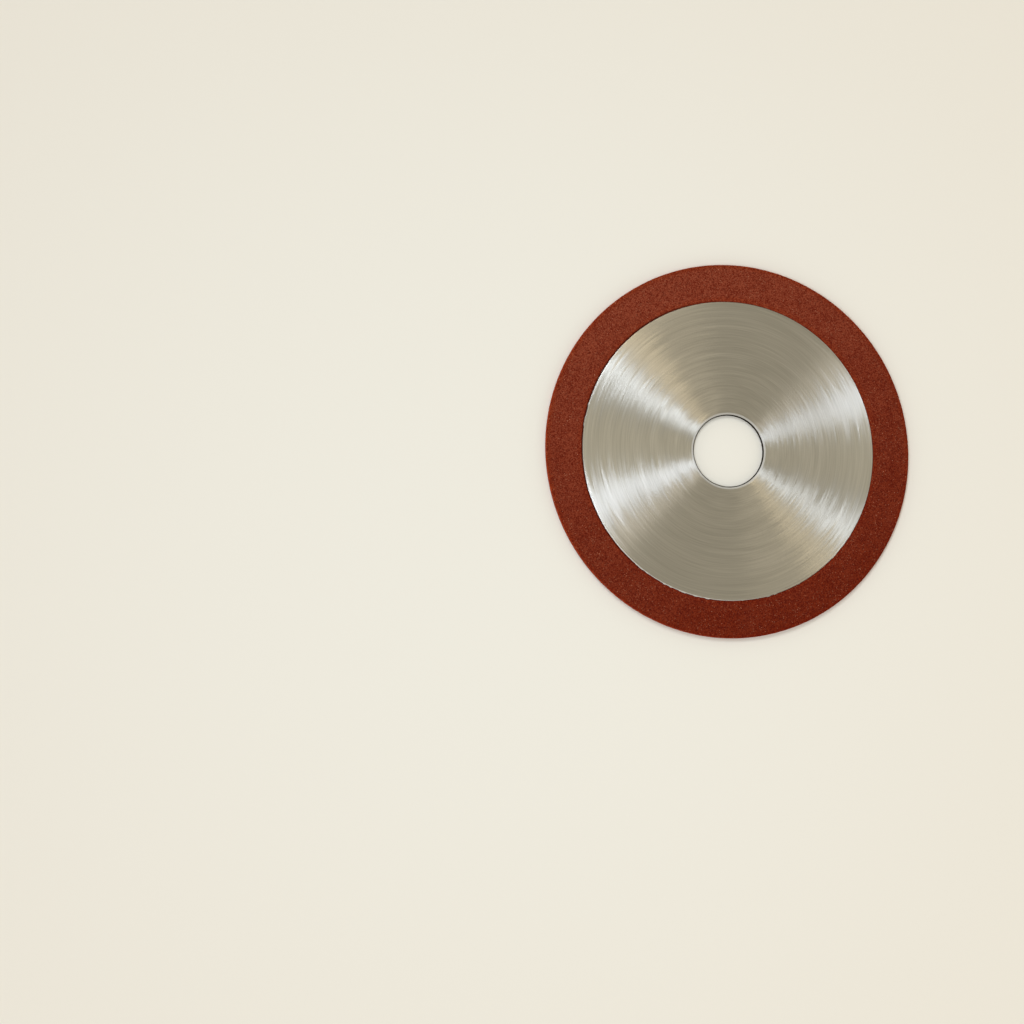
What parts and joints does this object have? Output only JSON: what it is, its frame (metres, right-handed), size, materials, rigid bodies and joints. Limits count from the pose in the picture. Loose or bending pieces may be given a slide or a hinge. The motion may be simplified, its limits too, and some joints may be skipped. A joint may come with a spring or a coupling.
{
  "type": "diamond saw blade",
  "caption": "Thin round cutting blade: a flat steel core with a central arbor bore, and a wide abrasive rim of diamond grain in resin moulded round its edge.",
  "frame": {"origin": "centre of the arbor bore, on the blade's middle plane", "axes": "+Z along the bore axis, out of the face seen from above; both faces are alike, and +X and +Y lie in the blade's plane"},
  "size_m": [0.105, 0.105, 0.0016],
  "materials": {
    "core_steel": "satin",
    "resin_bond": "matte"
  },
  "bodies": {
    "root": {"core_disc": "core_steel", "abrasive_rim": "resin_bond"}
  },
  "joints": []
}
